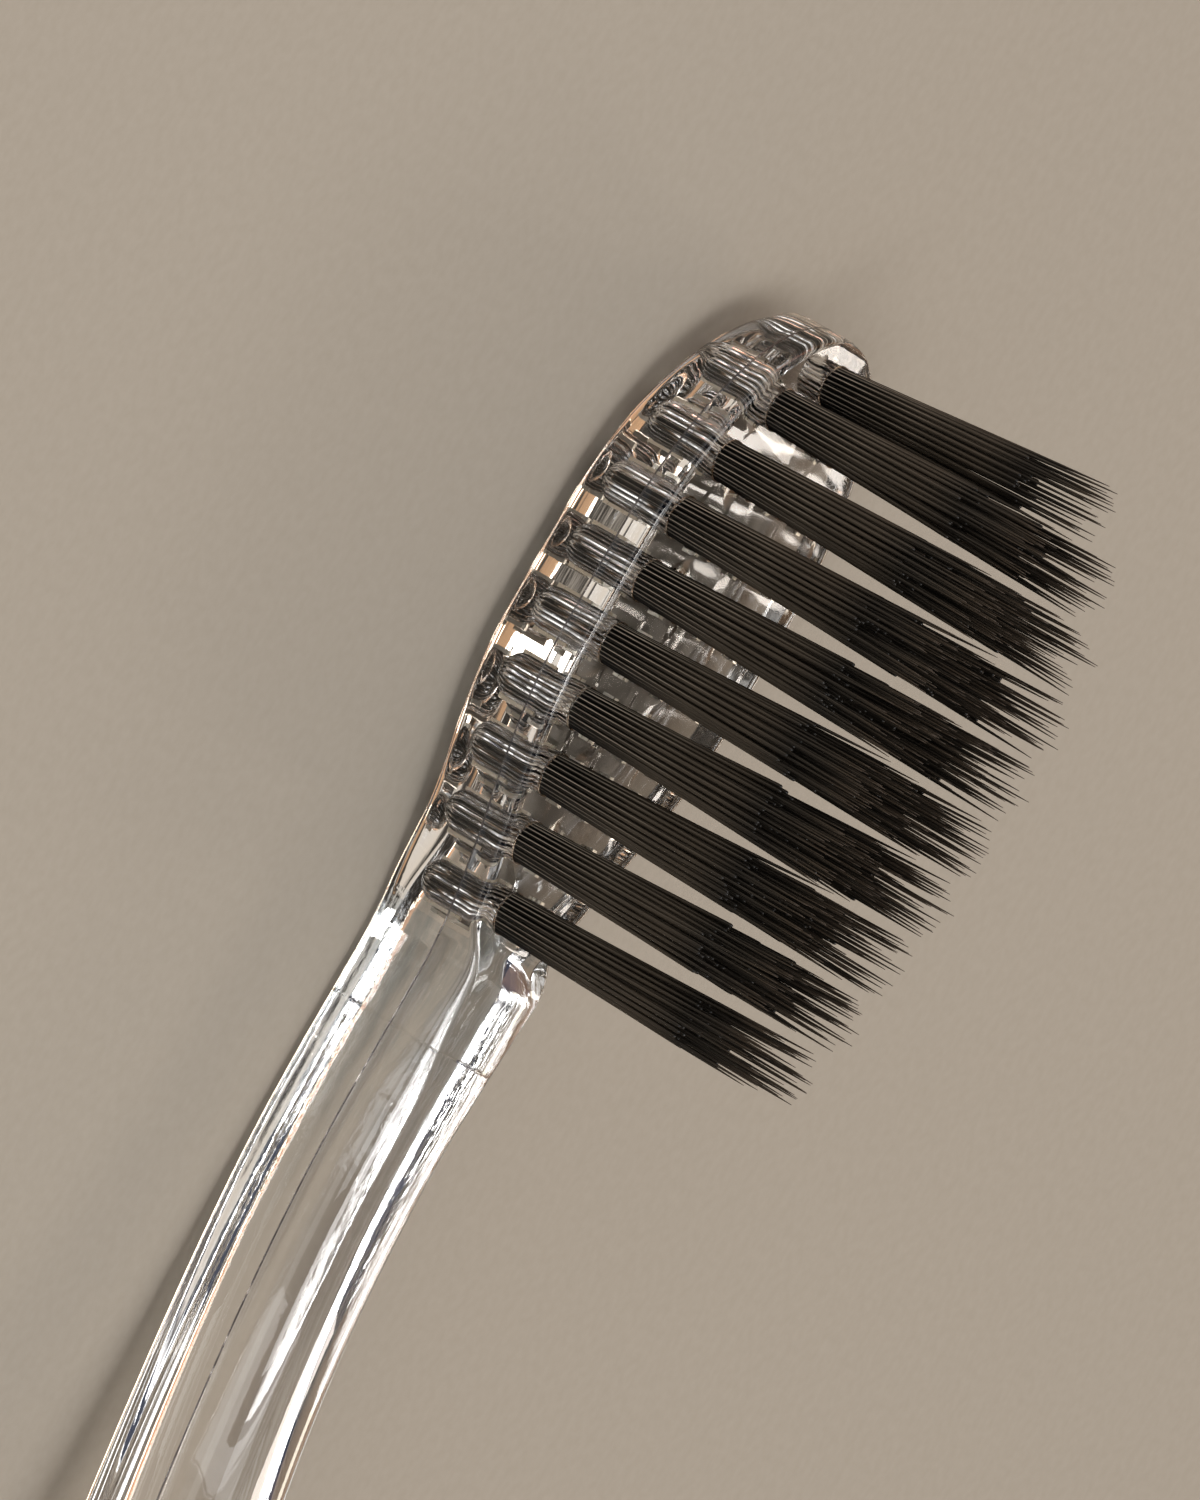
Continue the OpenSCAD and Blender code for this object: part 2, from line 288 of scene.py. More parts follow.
def add_math(tree, kind, first, second=0):
    node = tree.nodes.new("ShaderNodeMath")
    node.operation = kind
    feed(tree, node.inputs[0], first)
    feed(tree, node.inputs[1], second)
    return node.outputs["Value"]


def add_mix(tree, kind, share, first, second):
    """A blend of two colours or vectors."""
    first_socket, second_socket, result = MIX_SOCKETS[kind]
    node = tree.nodes.new("ShaderNodeMix")
    node.data_type = kind
    tree.links.new(share, node.inputs[0])
    feed(tree, node.inputs[first_socket], first)
    feed(tree, node.inputs[second_socket], second)
    return node.outputs[result]


# Materials, with sizes in millimetres
PLASTIC_IOR, NYLON_IOR = 1.54, 1.53
# The height that the plastic's marks are shares of, and each mark's share
RELIEF_H = 0.25
RIPPLE_SHARE, FLOW_SHARE, DRAG_SHARE, SWIRL_SHARE, WITNESS_SHARE = 0.2, 0.012, 0.002, 0.06, 0.06
# How far below the bristle face its ripples reach, and between which places across it they turn satin
FACE_REACH, SATIN_START_Y, SATIN_END_Y = 0.06, -4.6, -1
WITNESS_X, WITNESS_HALF_W = 25.1, 0.035
# How far beyond the witness line the neck's swirls reach, and between which heights they fade
SWIRL_REACH, SWIRL_FULL_Z, SWIRL_END_Z = 12, 2.3, 2.5
# How strongly the mirrors in a hole's wall tip up
WALL_TILT = 0.3
# A filament's painted highlight line: its place and half width as the X of the surface's normal, and where it
# fades
HIGHLIGHT_SIDE, HIGHLIGHT_HALF = 0.35, 0.2
HIGHLIGHT_FADE_START, HIGHLIGHT_FADE_END = 0.8, 4.5
WIRE_RELIEF_H = 0.02


def bristle_face(tree, x, z):
    """1 on the bristle face and close below it, 0 elsewhere."""
    on_top = add_math(tree, "GREATER_THAN", z, (FACE_Z - FACE_REACH) * MM)
    on_head = add_math(tree, "LESS_THAN", x, along(FACE_END_X) * MM)
    return add_math(tree, "MULTIPLY", on_top, on_head)


def neck_swirls(tree, x, z):
    """Flow swirls low in the neck, fading upwards and away from the head."""
    swirl = add_noise(tree, 1500, 4, (0.5, 1, 2.5))
    low = add_range(tree, z, SWIRL_END_Z * MM, SWIRL_FULL_Z * MM, 0, 1)
    near = add_range(tree, x, along(WITNESS_X + SWIRL_REACH) * MM, along(NECK_X) * MM, 0, 1)
    on_neck = add_math(tree, "GREATER_THAN", x, along(FACE_END_X) * MM)
    here = add_math(tree, "MULTIPLY", low, add_math(tree, "MULTIPLY", near, on_neck))
    return add_math(tree, "MULTIPLY", swirl, here)


def plastic_relief(tree, x, face, flow, swirls):
    """The heights of the plastic's marks, added up: ripples, flow, drag, witness line and swirls."""
    ripple = add_noise(tree, 900, 1, (1, 0.35, 1))
    drag = add_noise(tree, 5000, 2, (0.25, 1, 1))
    aside = add_math(tree, "ABSOLUTE", add_math(tree, "SUBTRACT", x, along(WITNESS_X) * MM))
    witness = add_range(tree, aside, 0, WITNESS_HALF_W * MM, WITNESS_SHARE, 0)
    height = add_math(tree, "MULTIPLY", ripple, add_math(tree, "MULTIPLY", face, RIPPLE_SHARE))
    height = add_math(tree, "ADD", height, add_math(tree, "MULTIPLY", flow, FLOW_SHARE))
    height = add_math(tree, "ADD", height, add_math(tree, "MULTIPLY", drag, DRAG_SHARE))
    height = add_math(tree, "ADD", height, witness)
    return add_math(tree, "ADD", height, add_math(tree, "MULTIPLY", swirls, SWIRL_SHARE))


def clear_plastic():
    """Polished plastic with flow marks, a rippled satin face, swirls low in the neck and a witness line."""
    material, tree, shader = new_material("clear_plastic")
    shader.inputs["Transmission Weight"].default_value = 1.0
    shader.inputs["IOR"].default_value = PLASTIC_IOR
    x, y, z = add_places(tree)
    flow = add_noise(tree, 300, 2, (1, 4, 4))
    face = bristle_face(tree, x, z)
    swirls = neck_swirls(tree, x, z)
    height = plastic_relief(tree, x, face, flow, swirls)
    tree.links.new(add_bump(tree, height, 1, RELIEF_H * MM), shader.inputs["Normal"])
    color = add_ramp(tree, swirls, (
        (0, (0.975, 0.962, 0.945)), (0.3, (0.9, 0.92, 0.93)), (0.6, (0.6, 0.67, 0.72)),
    ))
    tree.links.new(color, shader.inputs["Base Color"])
    polish = add_range(tree, flow, 0.35, 0.7, 0.005, 0.02)
    satin = add_range(tree, y, SATIN_START_Y * MM, SATIN_END_Y * MM, 0.02, 0.07)
    satin = add_math(tree, "MULTIPLY", satin, face)
    tree.links.new(add_math(tree, "ADD", polish, satin), shader.inputs["Roughness"])
    return material


def parting_ridge():
    """The fine flash left where the halves of the mould met: duller than the faces beside it."""
    material, tree, shader = new_material("parting_ridge")
    shader.inputs["IOR"].default_value = PLASTIC_IOR
    nicks = add_noise(tree, 1400, 2, (1, 0.2, 0.2))
    tree.links.new(add_range(tree, nicks, 0.35, 0.65, 0.35, 0.8), shader.inputs["Transmission Weight"])
    color = add_ramp(tree, nicks, (
        (0.4, (0.03, 0.02, 0.016)), (0.62, (0.1, 0.085, 0.08)), (0.72, (0.8, 0.76, 0.7)),
    ))
    tree.links.new(color, shader.inputs["Base Color"])
    tree.links.new(add_range(tree, nicks, 0.3, 0.7, 0.35, 0.2), shader.inputs["Roughness"])
    return material


def rim_painted_glint():
    """The thin lips round the holes' mouths, tinted amber in patches as a painted warm glint of light through
    them.
    """
    material, tree, shader = new_material("rim_painted_glint")
    shader.inputs["Transmission Weight"].default_value = 1.0
    shader.inputs["IOR"].default_value = PLASTIC_IOR
    painted_glint_patches = add_noise(tree, 1500, 2)
    # Painted warm glint: the lips' colour runs from pale to amber in patches
    color = add_ramp(tree, painted_glint_patches, ((0.35, (0.97, 0.8, 0.62)), (0.65, (0.93, 0.5, 0.24))))
    tree.links.new(color, shader.inputs["Base Color"])
    tree.links.new(add_range(tree, painted_glint_patches, 0.3, 0.7, 0.02, 0.08), shader.inputs["Roughness"])
    return material


def silvered_plastic():
    """The ridges between the filaments' prints in a hole's wall, where air behind them mirrors the light."""
    material, tree, shader = new_material("silvered_plastic")
    shader.inputs["Metallic"].default_value = 1.0
    shader.inputs["IOR"].default_value = PLASTIC_IOR
    streaks = add_noise(tree, 3600, 1, (1, 1, 0.06))
    color = add_ramp(tree, streaks, (
        (0.45, (0.01, 0.009, 0.009)), (0.48, (0.3, 0.2, 0.13)), (0.51, (0.85, 0.83, 0.8)), (0.54, (1, 1, 1)),
    ))
    tree.links.new(color, shader.inputs["Base Color"])
    tree.links.new(add_range(tree, streaks, 0.3, 0.7, 0.22, 0.12), shader.inputs["Roughness"])
    _, _, z = add_places(tree)
    tilted = add_bump(tree, add_math(tree, "MULTIPLY", z, -1), 1, WALL_TILT)
    on_streak = add_range(tree, streaks, 0.49, 0.52, 0, 1)
    tree.links.new(add_mix(tree, "VECTOR", on_streak, add_normal(tree), tilted), shader.inputs["Normal"])
    return material


def bristle_nylon():
    """Near-black filaments with a painted highlight line near the root, paler at mid height and at the ends.
    """
    material, tree, shader = new_material("bristle_nylon")
    shader.inputs["IOR"].default_value = NYLON_IOR
    shader.inputs["Specular IOR Level"].default_value = 0.3
    _, _, z = add_places(tree)
    strands = add_noise(tree, 9000, 1, (1, 1, 0.01))
    # Painted highlight: a pale stripe in the base colour on the side of each filament whose normal faces one
    # fixed direction, fading above the root
    across, _, upright = add_parts(tree, add_normal(tree))
    side = add_math(tree, "ABSOLUTE", add_math(tree, "ADD", across, HIGHLIGHT_SIDE))
    painted_highlight = add_range(tree, side, HIGHLIGHT_HALF, HIGHLIGHT_HALF / 2, 0, 1)
    painted_highlight = add_math(tree, "MULTIPLY", painted_highlight, add_range(tree, upright, 0.15, 0.35, 1, 0))
    bright = add_range(tree, strands, 0.35, 0.65, 0.35, 1)
    faded = add_range(tree, z, (FACE_Z + HIGHLIGHT_FADE_START) * MM, (FACE_Z + HIGHLIGHT_FADE_END) * MM, 1, 0.12)
    painted_highlight = add_math(tree, "MULTIPLY", painted_highlight, add_math(tree, "MULTIPLY", bright, faded))
    shade = add_ramp(tree, add_range(tree, z, FACE_Z * MM, (FACE_Z + TAPERED_H) * MM, 0, 1), (
        (0, (0.003, 0.0025, 0.002)), (0.1, (0.005, 0.004, 0.003)), (0.34, (0.05, 0.04, 0.029)),
        (0.58, (0.045, 0.035, 0.025)), (0.73, (0.011, 0.009, 0.007)), (0.84, (0.018, 0.014, 0.01)),
        (1, (0.055, 0.04, 0.027)),
    ))
    color = add_mix(tree, "RGBA", painted_highlight, shade, (0.56, 0.48, 0.38, 1))
    tree.links.new(color, shader.inputs["Base Color"])
    tree.links.new(add_range(tree, strands, 0.3, 0.7, 0.28, 0.4), shader.inputs["Roughness"])
    return material


def nickel_silver():
    """The anchors' drawn flat wire, with fine marks along it."""
    material, tree, shader = new_material("nickel_silver")
    shader.inputs["Base Color"].default_value = (0.76, 0.71, 0.62, 1)
    shader.inputs["Metallic"].default_value = 1.0
    drawn = add_noise(tree, 4000, 3, (0.1, 1, 1))
    tree.links.new(add_range(tree, drawn, 0.3, 0.7, 0.22, 0.4), shader.inputs["Roughness"])
    tree.links.new(add_bump(tree, drawn, 0.2, WIRE_RELIEF_H * MM), shader.inputs["Normal"])
    return material


def pale_floor():
    material, tree, shader = new_material("pale_floor")
    shader.inputs["Roughness"].default_value = 0.85
    shader.inputs["Specular IOR Level"].default_value = 0.1
    grain = add_noise(tree, 2500, 4)
    color = add_ramp(tree, grain, ((0.3, (0.345, 0.305, 0.25)), (0.7, (0.365, 0.323, 0.267))))
    tree.links.new(color, shader.inputs["Base Color"])
    return material


# The tuft holes, in millimetres
FILAMENT_R = 0.073
# Distance between the middles of the anchor and of a filament that touches it
FILAMENT_SIDE = ANCHOR_T / 2 + FILAMENT_R
# The outer ring of filaments: how many on one side of the anchor, its radius there and at the mouth
OUTER_HALF, PRINTED_R, OPEN_R = 12, 0.655, 0.625
# A filament's groove in the wall: its gap, the radius at its edges, half its width as a share of the pitch
PRINT_GAP, WALL_R, GROOVE_SHARE = 0.004, 0.69, 0.47
# Corners across a groove, as shares of half its width, and the numbers of the sides that are silvered
GROOVE_CORNERS = (-1, -0.5, 0, 0.5, 1)
RIDGE_SIDES = (0, 3, 4)
# Corners of the bare wall at the anchor's ends, as shares of half its width
BARE_CORNERS = (0.7, 1.3)
# The lip: its height, the least share of it that is left, and the size and number of each set of waves on it
LIP_H, LEAST_LIP_SHARE = 0.035, 0.1
LIP_WAVES = ((0.5, 2), (0.35, 5))
# Each level of a hole: radius, height, share of the filaments' print, share of the way to the anchor
HOLE_LEVELS = (
    (0.735, 0, 0, 0),
    (0.726, 0.8 * LIP_H, 0, 0),
    (0.712, LIP_H, 0, 0),
    (HOLE_R, -0.01, 0, 0),
    (HOLE_R, -0.1, 0.4, 0),
    (HOLE_R, -0.4, 1, 0.3),
    (HOLE_R, -1.15, 1, 1),
    (HOLE_R, HOLE_R - HOLE_DEPTH, 1, 1),
)
# How many steps down a hole belong to the rim, and how many make its round floor
RIM_STEPS, FLOOR_STEPS = 4, 5


def half_ring(count, radius, anchor_share):
    """Angles of the filaments on one side of the anchor: spread at the mouth, pushed aside at the anchor."""
    first = mix(math.pi / (2 * count), math.asin(FILAMENT_SIDE / radius), anchor_share)
    return [first + (math.pi - 2 * first) * i / (count - 1) for i in range(count)]


def wall_outline(print_share, anchor_share):
    """Angles and radii round a hole's wall, with a groove where each outer filament presses into it."""
    ring = half_ring(OUTER_HALF, PRINTED_R, anchor_share)
    half = GROOVE_SHARE * (ring[1] - ring[0])
    gap = ring[0] - half
    groove_r = FILAMENT_R + PRINT_GAP
    outline = []
    for a in ring + [a + math.pi for a in ring]:
        for share in GROOVE_CORNERS:
            turn = share * half
            aside = groove_r**2 - (PRINTED_R * math.sin(turn)) ** 2
            r = PRINTED_R * math.cos(turn) + math.sqrt(aside) if abs(share) < 1 else WALL_R
            outline.append((a + turn, mix(HOLE_R, r, print_share)))
        if a in (ring[-1], ring[-1] + math.pi):
            outline += [(a + half + gap * share, HOLE_R) for share in BARE_CORNERS]
    return outline


def hole_rings(x, y, rng):
    """Rings of points down a blind hole: a raised, uneven lip, a printed wall and a round floor."""
    phases = [rng.uniform(0, 2 * math.pi) for _ in range(3)]
    rings = []
    for radius, z, print_share, anchor_share in HOLE_LEVELS:
        ring = []
        for a, r in wall_outline(print_share, anchor_share):
            uneven = 1
            for (size, count), phase in zip(LIP_WAVES, phases):
                uneven += size * math.sin(count * a + phase)
            lift = z * max(uneven, LEAST_LIP_SHARE) if z > 0 else z
            r += radius - HOLE_R
            ring.append((x + r * math.cos(a), y + r * math.sin(a), FACE_Z + lift))
        rings.append(ring)
    for i in range(1, FLOOR_STEPS):
        dive = math.pi / 2 * i / FLOOR_STEPS
        z = FACE_Z + HOLE_R - HOLE_DEPTH - HOLE_R * math.sin(dive)
        outline = [(a, r * math.cos(dive)) for a, r in wall_outline(math.cos(dive), 1)]
        rings.append([(x + r * math.cos(a), y + r * math.sin(a), z) for a, r in outline])
    return rings


def hole_wall(points, faces, rims, ridges, x, y, rng):
    """Adds a blind hole, and returns the point numbers of its lip's outer ring."""
    starts = []
    for ring in hole_rings(x, y, rng):
        starts.append(len(points))
        points += ring
    around = starts[1] - starts[0]
    sides = [i % (around // 2) % len(GROOVE_CORNERS) for i in range(around)]
    walls = [ridges if side in RIDGE_SIDES else faces for side in sides]
    for step, (upper, lower) in enumerate(zip(starts, starts[1:])):
        for i, wall in enumerate(walls):
            j = (i + 1) % around
            kind = rims if step < RIM_STEPS else wall
            kind.append((upper + i, upper + j, lower + j, lower + i))
    pole = len(points)
    points.append((x, y, FACE_Z - HOLE_DEPTH))
    for i, wall in enumerate(walls):
        wall.append((starts[-1] + i, starts[-1] + (i + 1) % around, pole))
    return [starts[0] + i for i in range(around)]


# The clear moulding, in millimetres: rings of its mesh on each stretch, and where the closer ones end
TIP_RINGS, SIDE_RINGS, SHOULDER_RINGS, NECK_RINGS, HANDLE_RINGS, END_RINGS = 40, 8, 70, 60, 120, 20
FINE_END_X = 45.0
# Shares of a step: by how much the first ring is nearer to the tip, and how far the last stays off the end
TIP_LEAD_SHARE, END_GAP_SHARE = 0.7, 0.8
# Steps round an edge, steps across half the top, how far the last stays off the middle line, and the least Y
EDGE_STEPS, CROWN_STEPS, CROWN_GAP_SHARE, LEAST_Y = 12, 4, 0.5, 0.01
# The parting line's ridge
RIDGE_H, RIDGE_HALF_W = 0.03, 0.035
# The seed of the holes' lips, and the triangulation's settings: faces inside the outlines, and its tolerance
HOLES_SEED, INSIDE_FACES, TOLERANCE = 7, 1, 1e-7
SHARP_ANGLE, FACE_WEIGHT = math.radians(38), 90


def half_section(x):
    """One side of a cross-section, from the underside to the top, with the parting line's ridge."""
    width, low, high, part = half_width(x), bottom_z(x), top_z(x), parting_z(x)
    low_r, high_r = low_radius(x), high_radius(x)
    side = width - RIDGE_H
    low_w = side - DRAFT_SHARE * (part - low)
    high_w = side - DRAFT_SHARE * (high - part)
    ridge = RIDGE_HALF_W * end_round(x)
    turns = [math.pi / 2 * i / EDGE_STEPS for i in range(EDGE_STEPS + 1)]
    points = [(low_w - low_r * (1 - math.sin(a)), low + low_r * (1 - math.cos(a))) for a in turns]
    points += [(side, part - ridge), (width, part), (side, part + ridge)]
    top = [(high_w - high_r * (1 - math.cos(a)), high - high_r * (1 - math.sin(a))) for a in turns]
    flat, steps = high_w - high_r, CROWN_STEPS + CROWN_GAP_SHARE
    top += [(flat * (1 - k / steps), high) for k in range(1, CROWN_STEPS + 1)]
    points += [(y, z - crown(x) * (y / high_w) ** 2) for y, z in top]
    return [(max(y, LEAST_Y), max(z, 0)) for y, z in points]


def even_steps(start, end, count):
    """Evenly spaced places after a start, up to an end."""
    return [start + (end - start) * i / count for i in range(1, count + 1)]


def stations():
    """Places of the cross-sections: closer together at the ends, on the shoulders and on the neck in view."""
    tip_steps = TIP_RINGS - TIP_LEAD_SHARE
    tip = [math.pi / 2 * (i - TIP_LEAD_SHARE) / tip_steps for i in range(1, TIP_RINGS + 1)]
    end_steps = END_RINGS + END_GAP_SHARE
    end = [math.pi / 2 * i / end_steps for i in range(1, END_RINGS + 1)]
    xs = [TIP_L * (1 - math.cos(a)) for a in tip]
    xs += even_steps(TIP_L, SHOULDER_X, SIDE_RINGS)
    xs += even_steps(SHOULDER_X, NECK_X, SHOULDER_RINGS)
    xs += even_steps(NECK_X, FINE_END_X, NECK_RINGS)
    xs += even_steps(FINE_END_X, END_X, HANDLE_RINGS)
    xs += [END_X + END_L * math.sin(a) for a in end]
    return sorted(xs + [FACE_END_X])


def sweep(points, faces, flash):
    """Adds the moulding's outside, leaving out the bristle face, and returns that face's outline."""
    xs, rings = stations(), []
    for x in xs:
        half = half_section(x)
        rings.append(len(points))
        points += [(along(x), y, z) for y, z in half]
        points += [(along(x), -y, z) for y, z in reversed(half)]
    count = len(half) * 2
    rim = len(half) - 1 - CROWN_STEPS
    across = range(rim, count - 1 - rim)
    crest = EDGE_STEPS + 2
    on_flash = (crest - 1, crest, count - 1 - crest, count - 2 - crest)
    first = next(k for k, x in enumerate(xs) if x >= RIM_R)
    last = xs.index(FACE_END_X)
    for k, (a, b) in enumerate(zip(rings, rings[1:])):
        for i in range(count):
            if i in across and first <= k < last:
                continue
            j = (i + 1) % count
            kind = flash if i in on_flash else faces
            kind.append((a + i, a + j, b + j, b + i))
    faces.append(tuple(rings[0] + i for i in reversed(range(count))))
    faces.append(tuple(rings[-1] + i for i in range(count)))
    left = [rings[k] + rim for k in range(first, last)]
    right = [rings[k] + count - 1 - rim for k in range(first + 1, last + 1)]
    start = [rings[first] + i for i in reversed(across)]
    end = [rings[last] + i for i in across]
    return left + end + right[::-1] + [start[0] + 1] + start[:-1]


def fill_face(points, faces, rims, ridges, outline):
    """Fills the bristle face inside an outline of point numbers, leaving and lining the tuft holes."""
    count = len(outline)
    flat, owner = list(outline), [-1] * count
    edges = [(i, (i + 1) % count) for i in range(count)]
    rng = random.Random(HOLES_SEED)
    for number, (_, _, x, y) in enumerate(tufts()):
        mouth = hole_wall(points, faces, rims, ridges, x, y, rng)
        start, size = len(flat), len(mouth)
        flat += mouth
        owner += [number] * size
        edges += [(start + i, start + (i + 1) % size) for i in range(size)]
    plan = [Vector(points[k][:2]) for k in flat]
    _, _, triangles, origins, _, _ = delaunay_2d_cdt(plan, edges, [], INSIDE_FACES, TOLERANCE)
    source = [numbers[0] for numbers in origins]
    for triangle in triangles:
        owners = {owner[source[k]] for k in triangle}
        if len(owners) > 1 or -1 in owners:
            faces.append(tuple(flat[source[k]] for k in triangle))


def clear_body(materials):
    """The moulding, with a material each for its faces, its parting ridge, and its holes' rims and ridges."""
    points, faces, flash, rims, ridges = [], [], [], [], []
    outline = sweep(points, faces, flash)
    fill_face(points, faces, rims, ridges, outline)
    kinds = (faces, flash, rims, ridges)
    used = sorted({k for kind in kinds for face in kind for k in face})
    number = {k: i for i, k in enumerate(used)}
    shell = [tuple(number[k] for k in face) for kind in kinds for face in kind]
    piece = new_object("clear_body", [points[k] for k in used], shell, materials[0])
    for material in materials[1:]:
        piece.data.materials.append(material)
    index = [k for k, kind in enumerate(kinds) for _ in kind]
    piece.data.polygons.foreach_set("material_index", index)
    piece.data.set_sharp_from_angle(angle=SHARP_ANGLE)
    weighted = piece.modifiers.new("weighted_normals", "WEIGHTED_NORMAL")
    weighted.keep_sharp = True
    weighted.weight = FACE_WEIGHT
    return piece


# Tufts, in millimetres: filaments folded round the anchor, each with its two ends up
FILAMENT_SIDES, BEND_STEPS = 6, 6
# The step between the seeds of two rows; each tuft's number in its row is added to it
ROW_SEEDS = 100
# Each ring of filaments: how many on one side, radius at the anchor, radius at the mouth
PACKING = ((OUTER_HALF, PRINTED_R, OPEN_R), (8, 0.5, 0.475), (5, 0.35, 0.32))
# The innermost filament's distance from the middle of the mouth, and its clearance beside the anchor
CORE_Y, CORE_GAP = 0.13, 0.005
# The bend under the anchor: its outer radius, how far along the anchor it may lie, and its least depth
FOLD_R, BEND_REACH, LEAST_BEND = 0.63, 0.5, 0.3
# How much less the first tuft leans than its CAD solid, to leave room for its straying ends
LEAD_SPARE = 0.3
# A tuft's width at the tapered height as a share of its root's, its spread, and half the stray of its ends
FLARE_SHARE, FLARE_SPREAD, STRAY = 1.5, (0.94, 1.04), 0.035
# The least and the most height of each kind of filament, as shares of its height
TAPERED_SPREAD, BLUNT_SPREAD = (0.95, 0.999), (0.96, 1.01)
# Down a filament from its free end: share of its height, share of its full radius
TAPERED_SHARES = ((1, 0.14), (0.97, 0.28), (0.9, 0.5), (0.8, 0.74), (0.68, 0.92), (0.5, 1))
BLUNT_SHARES = ((1, 0.55), (0.994, 0.9), (0.985, 1), (0.6, 1))
ROOT_SHARES = ((0.25, 1), (0, 1))


def packed_half():
    """Places of the filaments on one side of the anchor: at the mouth, and beside the anchor."""
    places = []
    for count, low_r, mouth_r in PACKING:
        mouth, low = half_ring(count, low_r, 0), half_ring(count, low_r, 1)
        for a, b in zip(mouth, low):
            top = Vector((mouth_r * math.cos(a), mouth_r * math.sin(a)))
            places.append((top, Vector((low_r * math.cos(b), low_r * math.sin(b)))))
    places.append((Vector((0, CORE_Y)), Vector((0, FILAMENT_SIDE + CORE_GAP))))
    return places


def tube(points, faces, path):
    """Adds a closed tube along a path of (centre, radius)."""
    rings = []
    for k, (centre, radius) in enumerate(path):
        before, after = path[max(k - 1, 0)][0], path[min(k + 1, len(path) - 1)][0]
        direction = (after - before).normalized()
        side = direction.cross(Vector((1, 0, 0))).normalized()
        up = side.cross(direction)
        rings.append(len(points))
        for i in range(FILAMENT_SIDES):
            a = 2 * math.pi * i / FILAMENT_SIDES
            points.append(centre + (side * math.cos(a) + up * math.sin(a)) * radius)
    for first, second in zip(rings, rings[1:]):
        for i in range(FILAMENT_SIDES):
            j = (i + 1) % FILAMENT_SIDES
            faces.append((first + i, second + i, second + j, first + j))
    faces.append(tuple(rings[0] + i for i in range(FILAMENT_SIDES)))
    faces.append(tuple(rings[-1] + i for i in reversed(range(FILAMENT_SIDES))))


def filament_leg(rng, place, lean, tapered):
    """Centres and radii of one leg, from its free end down to the mouth of the hole."""
    length = TAPERED_H * rng.uniform(*TAPERED_SPREAD) if tapered else BLUNT_H * rng.uniform(*BLUNT_SPREAD)
    splay = FLARE_SHARE * rng.uniform(*FLARE_SPREAD) - 1
    stray = Vector((rng.gauss(0, STRAY), rng.gauss(0, STRAY)))
    leg = []
    for share, thickness in (TAPERED_SHARES if tapered else BLUNT_SHARES) + ROOT_SHARES:
        z = length * share
        s = z / TAPERED_H
        out = place * (1 + splay * s) + stray * (2 * s * s)
        leg.append((Vector((out.x - lean * s, out.y, z)), FILAMENT_R * thickness))
    return leg


def folded_filament(rng, top, low, lean):
    """One filament: a leg down, a bend under the anchor, and a leg up on the other side."""
    kinds = rng.choice(((True, False), (False, True), (True, True), (False, False)))
    legs = []
    for sign, kind in zip((1, -1), kinds):
        legs.append(filament_leg(rng, Vector((top.x, sign * top.y)), lean, kind))
    anchor_top = FOLD_T + ANCHOR_H - HOLE_DEPTH
    bend_z = HOLE_R - HOLE_DEPTH
    bend_x = max(min(low.x, BEND_REACH), -BEND_REACH)
    room = math.sqrt(FOLD_R**2 - bend_x**2)
    tightest = HOLE_R - FOLD_T + FILAMENT_R
    share = (low.y - FILAMENT_SIDE) / (PRINTED_R - FILAMENT_SIDE)
    depth = max(mix(min(tightest, room), room, share), LEAST_BEND)
    bend = []
    for i in range(BEND_STEPS + 1):
        a = math.pi * i / BEND_STEPS
        x = mix(low.x, bend_x, math.sin(a))
        bend.append((Vector((x, low.y * math.cos(a), bend_z - depth * math.sin(a))), FILAMENT_R))
    down = [(Vector((low.x, low.y, anchor_top)), FILAMENT_R)]
    up = [(Vector((low.x, -low.y, anchor_top)), FILAMENT_R)]
    return legs[0] + down + bend + up + legs[1][::-1]


def tuft(row, i, x, y, material):
    """One tuft of loose filaments, in place of its CAD solid."""
    rng = random.Random(ROW_SEEDS * row + i)
    points, faces = [], []
    lean = LEAD_LEAN - LEAD_SPARE if row == 0 else 0
    for top, low in packed_half():
        tube(points, faces, folded_filament(rng, top, low, lean))
    mouth = Vector((x, y, FACE_Z))
    piece = new_object(f"filaments_row{row + 1}_{i + 1}", [mouth + p for p in points], faces, material)
    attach(piece, BODY)
    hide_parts(f"tuft_row{row + 1}_{i + 1}")


def dress_anchors():
    """Gives the CAD model's anchors their material."""
    wire = nickel_silver()
    for name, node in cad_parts.items():
        if name.startswith("anchors_"):
            node.data.materials.clear()
            node.data.materials.append(wire)


# Floor and lights, in metres
FLOOR_HALF, FLOOR_Z = 3.0, -0.03 * MM
WHITE, WARM_WHITE, GOLDEN, SALMON = (1, 1, 1), (1, 0.92, 0.84), (1, 0.92, 0.78), (1, 0.42, 0.27)
# The height that the lamps face, in millimetres
AIM_Z = 4
# Each lamp: the X that it faces, in millimetres, and its direction, distance, size, radiance and colour
LAMPS = {
    "overhead_box": (-81, (-0.1, -0.17, 0.98), 1.1, (1.0, 0.68), 2.2, WHITE),
    "neck_top": (-27, (0, -0.366, 0.93), 0.35, (0.094, 0.075), 7.5, WHITE),
    "rear_strip": (-81, (-0.12, 0.96, 0.26), 1.1, (0.7, 0.085), 5, GOLDEN),
    "rear_bar_tip": (-130, (0, 0.84, 0.545), 0.5, (0.065, 0.09), 8, WARM_WHITE),
    "rear_bar_neck": (-16, (0, 0.84, 0.545), 0.5, (0.065, 0.09), 8, WARM_WHITE),
    "neck_key": (-30, (0, -0.47, 0.883), 0.5, (0.24, 0.09), 6, WHITE),
    "neck_fill": (-12, (0, -0.743, 0.669), 0.5, (0.126, 0.1), 2.5, WHITE),
    "warm_side": (-81, (-0.95, -0.1, 0.3), 0.6, (0.3, 0.2), 1.5, SALMON),
}


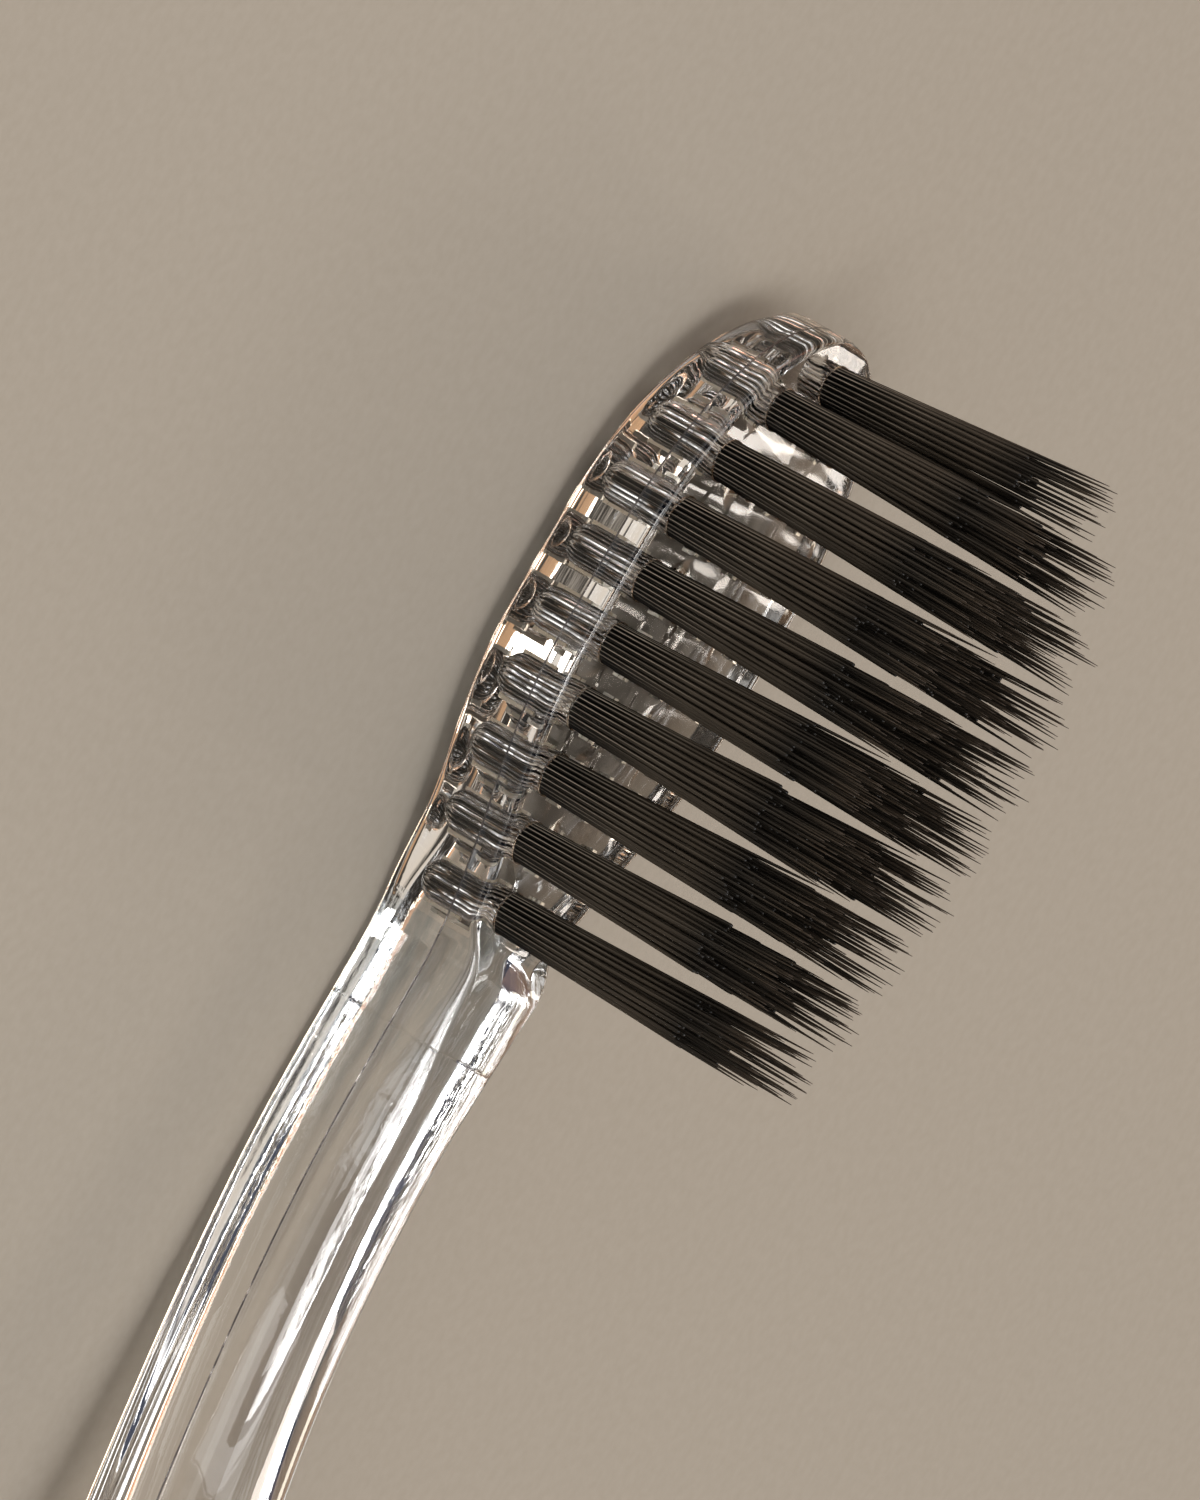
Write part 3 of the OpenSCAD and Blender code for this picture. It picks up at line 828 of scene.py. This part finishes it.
def studio_floor():
    mesh = bpy.data.meshes.new("floor")
    corners = ((-1, -1), (1, -1), (1, 1), (-1, 1))
    mesh.from_pydata([(FLOOR_HALF * x, FLOOR_HALF * y, FLOOR_Z) for x, y in corners], [], [(0, 1, 2, 3)])
    mesh.materials.append(pale_floor())
    floor = bpy.data.objects.new("floor", mesh)
    bpy.context.scene.collection.objects.link(floor)


def studio_world():
    """Fill from the front, a dark band above it, open sky overhead and a warm horizon behind the brush."""
    world = bpy.data.worlds.new("studio")
    world.use_nodes = True
    tree = world.node_tree
    _, depth, height = add_parts(tree, tree.nodes.new("ShaderNodeTexCoord").outputs["Generated"])
    front = add_ramp(tree, height, (
        (0, (0.5, 0.5, 0.5)), (0.25, (0.5, 0.5, 0.5)), (0.3, (1.5, 1.48, 1.45)), (0.46, (1.5, 1.48, 1.45)),
        (0.52, (0.05, 0.06, 0.09)), (0.9, (0.03, 0.045, 0.09)), (0.96, (0.7, 0.7, 0.7)), (1, (0.9, 0.9, 0.9)),
    ))
    back = add_ramp(tree, height, (
        (0, (0.7, 0.45, 0.3)), (0.13, (0.9, 0.5, 0.3)), (0.3, (0.6, 0.36, 0.2)), (0.4, (0.5, 0.3, 0.17)),
        (0.44, (0.04, 0.035, 0.03)), (0.5, (0.04, 0.035, 0.03)), (0.53, (0.75, 0.66, 0.56)),
        (0.68, (0.8, 0.74, 0.67)), (0.74, (0.1, 0.1, 0.1)), (0.95, (0.5, 0.5, 0.5)), (1, (0.9, 0.9, 0.9)),
    ))
    sky = add_mix(tree, "RGBA", add_range(tree, depth, -0.05, 0.05, 0, 1), front, back)
    background = tree.nodes["Background"]
    tree.links.new(sky, background.inputs["Color"])
    background.inputs["Strength"].default_value = 1.0
    bpy.context.scene.world = world


def softbox(name, aim_x, direction, distance, size, radiance, color):
    """An area lamp of a given size and brightness, that faces a place on the brush from a direction."""
    light = bpy.data.lights.new(name, "AREA")
    light.shape = "RECTANGLE"
    light.size, light.size_y = size
    light.energy = radiance * math.pi * size[0] * size[1]
    light.color = color
    away = Vector(direction).normalized()
    lamp = bpy.data.objects.new(name, light)
    lamp.location = Vector((aim_x, 0, AIM_Z)) * MM + away * distance
    lamp.rotation_euler = away.to_track_quat("Z", "Y").to_euler()
    bpy.context.scene.collection.objects.link(lamp)


# The photograph's height and scale in its own pixels, and the camera's angles and target
PHOTO_H, PX_PER_MM = 1500, 32.68
ELEVATION, ROLL = math.radians(30), math.radians(120)
TARGET = Vector((-77.33 * MM, 0, 2.945 * MM))
DISTANCE, CLIP_START, SENSOR_H = 0.6, 0.01, 24


def photo_camera():
    """A camera at the photograph's viewing angle, square to the brush and rolled as the photograph is."""
    data = bpy.data.cameras.new("camera")
    data.sensor_fit = "VERTICAL"
    data.sensor_height = SENSOR_H
    data.lens = DISTANCE * SENSOR_H / (PHOTO_H / PX_PER_MM * MM)
    data.clip_start = CLIP_START
    towards = Vector((0, -math.cos(ELEVATION), math.sin(ELEVATION)))
    upright = Vector((0, math.sin(ELEVATION), math.cos(ELEVATION)))
    photo_up = upright * math.cos(ROLL) - Vector((1, 0, 0)) * math.sin(ROLL)
    photo_right = photo_up.cross(towards)
    rotation = [[photo_right[k], photo_up[k], towards[k]] for k in range(3)]
    camera = bpy.data.objects.new("camera", data)
    camera.matrix_world = Matrix.Translation(TARGET + towards * DISTANCE) @ Matrix(rotation).to_4x4()
    bpy.context.scene.collection.objects.link(camera)
    bpy.context.scene.camera = camera


# Build the brush and the studio
body = clear_body((clear_plastic(), parting_ridge(), rim_painted_glint(), silvered_plastic()))
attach(body, BODY)
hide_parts("brush_body")

nylon = bristle_nylon()
for row, i, x, y in tufts():
    tuft(row, i, x, y, nylon)
dress_anchors()

studio_floor()
studio_world()
for name, settings in LAMPS.items():
    softbox(name, *settings)
photo_camera()

bpy.context.scene.view_settings.view_transform = "Standard"
bpy.context.scene.cycles.max_bounces = 24
bpy.context.scene.cycles.transmission_bounces = 24
bpy.context.scene.cycles.glossy_bounces = 8
